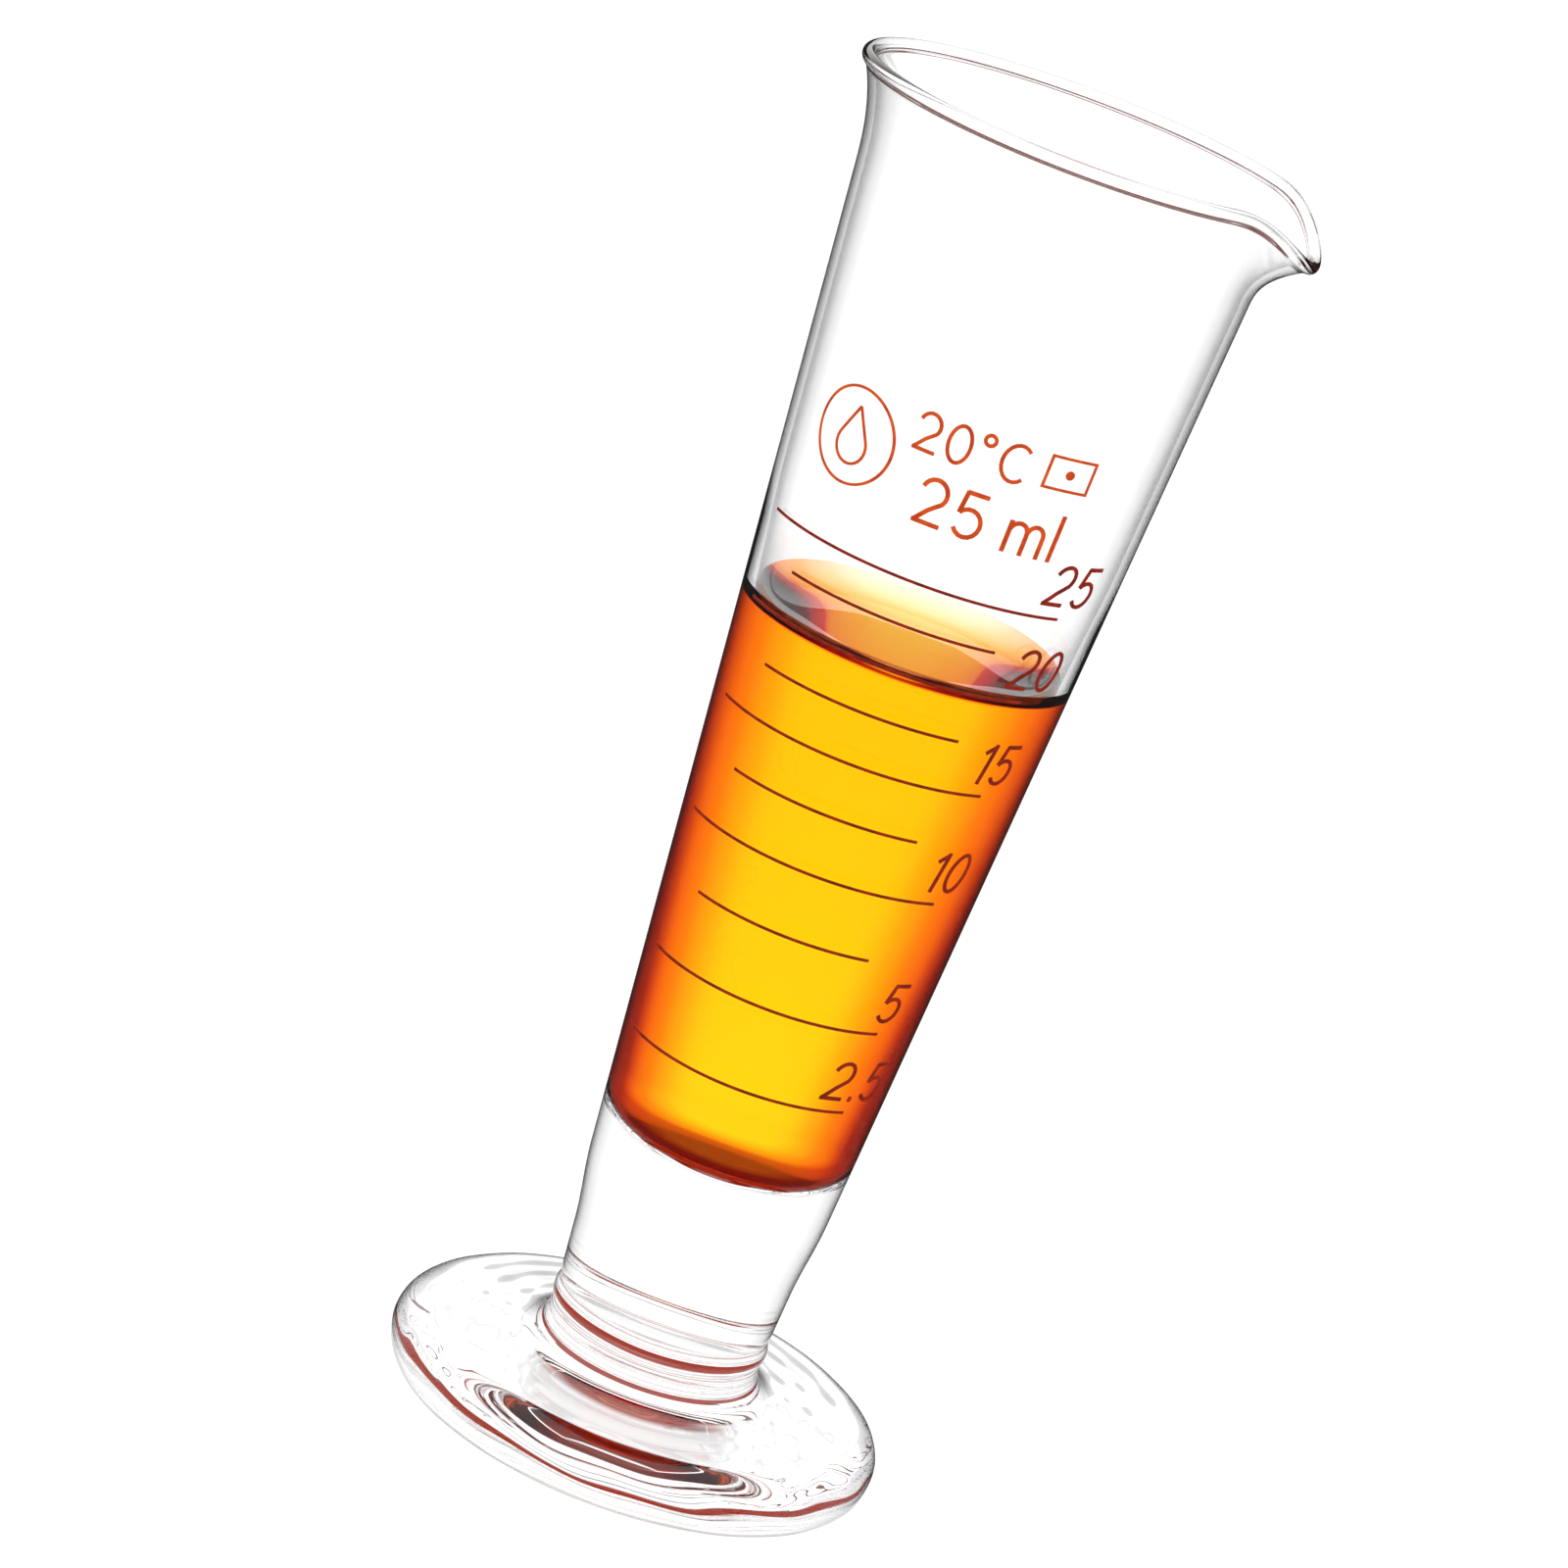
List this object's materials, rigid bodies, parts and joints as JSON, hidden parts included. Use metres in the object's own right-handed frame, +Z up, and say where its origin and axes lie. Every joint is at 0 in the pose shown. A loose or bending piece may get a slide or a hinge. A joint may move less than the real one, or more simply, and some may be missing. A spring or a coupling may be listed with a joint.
{
  "type": "conical measuring glass",
  "caption": "Small footed conical measuring glass with a flared rim, a pouring spout and a fired-on volume scale on its front.",
  "frame": {"origin": "centre of the foot's resting ring, on the plane the glass stands on", "axes": "+Z up along the glass's axis, +X towards the pouring spout, -Y towards the front, where the scale is"},
  "size_m": [0.0448, 0.0448, 0.123],
  "materials": {
    "clear_glass": "clear, fire-polished",
    "pressed_glass": "clear, pressed, slightly wavy",
    "scale_enamel": "opaque fired enamel, satin",
    "numeral_enamel": "opaque fired enamel, satin",
    "inscription_enamel": "opaque fired enamel, satin"
  },
  "bodies": {
    "root": {"vessel": "clear_glass", "pouring_lip": "clear_glass", "stem_joint": "pressed_glass", "foot": "pressed_glass", "grad_line_2_5": "scale_enamel", "grad_line_5": "scale_enamel", "grad_line_7_5": "scale_enamel", "grad_line_10": "scale_enamel", "grad_line_12_5": "scale_enamel", "grad_line_15": "scale_enamel", "grad_line_17_5": "scale_enamel", "grad_line_20": "scale_enamel", "grad_line_22_5": "scale_enamel", "grad_line_25": "scale_enamel", "numeral_2_5": "numeral_enamel", "numeral_5": "numeral_enamel", "numeral_10": "numeral_enamel", "numeral_15": "numeral_enamel", "numeral_20": "numeral_enamel", "numeral_25": "numeral_enamel", "capacity_inscription": "inscription_enamel", "temperature_inscription": "inscription_enamel", "round_emblem": "inscription_enamel", "inspection_mark": "inscription_enamel"}
  },
  "joints": []
}
